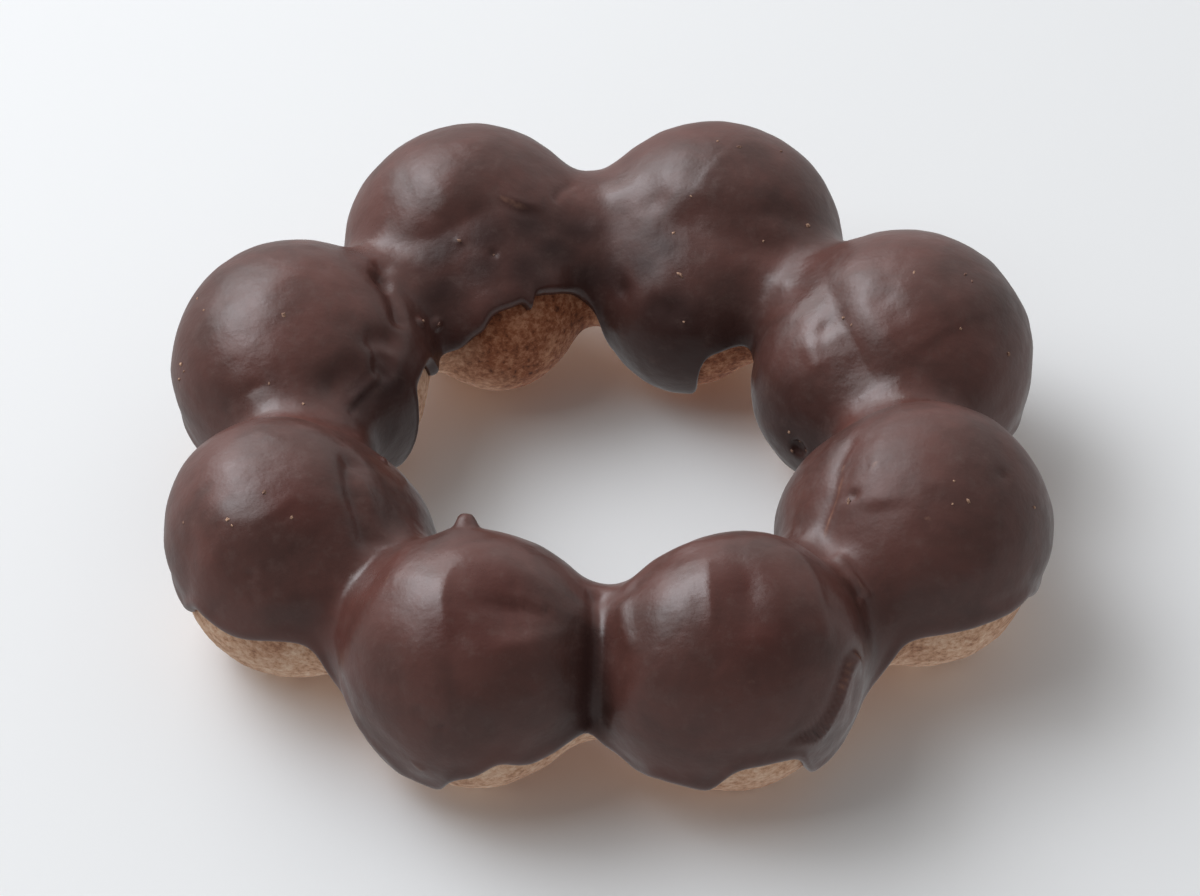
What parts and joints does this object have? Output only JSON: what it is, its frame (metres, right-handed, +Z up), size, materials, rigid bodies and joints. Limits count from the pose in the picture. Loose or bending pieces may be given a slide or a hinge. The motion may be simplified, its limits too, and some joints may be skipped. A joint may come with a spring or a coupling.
{
  "type": "chocolate doughnut",
  "caption": "Ring doughnut of round dough balls joined side by side, dipped in dark chocolate over the top and sides, with a bare fried underside.",
  "frame": {"origin": "centre of the footprint, on the surface the doughnut rests on", "axes": "+Z up along the ring's axis, -Y towards the picture's viewer, +X to the viewer's right"},
  "size_m": [0.0808, 0.0796, 0.0236],
  "materials": {
    "fried_dough": "rough golden-brown fried crust with fine grains",
    "dark_chocolate": "set dark chocolate, satin, with soft broad highlights"
  },
  "bodies": {
    "root": {"dough": "fried_dough", "chocolate_coat": "dark_chocolate"}
  },
  "joints": []
}
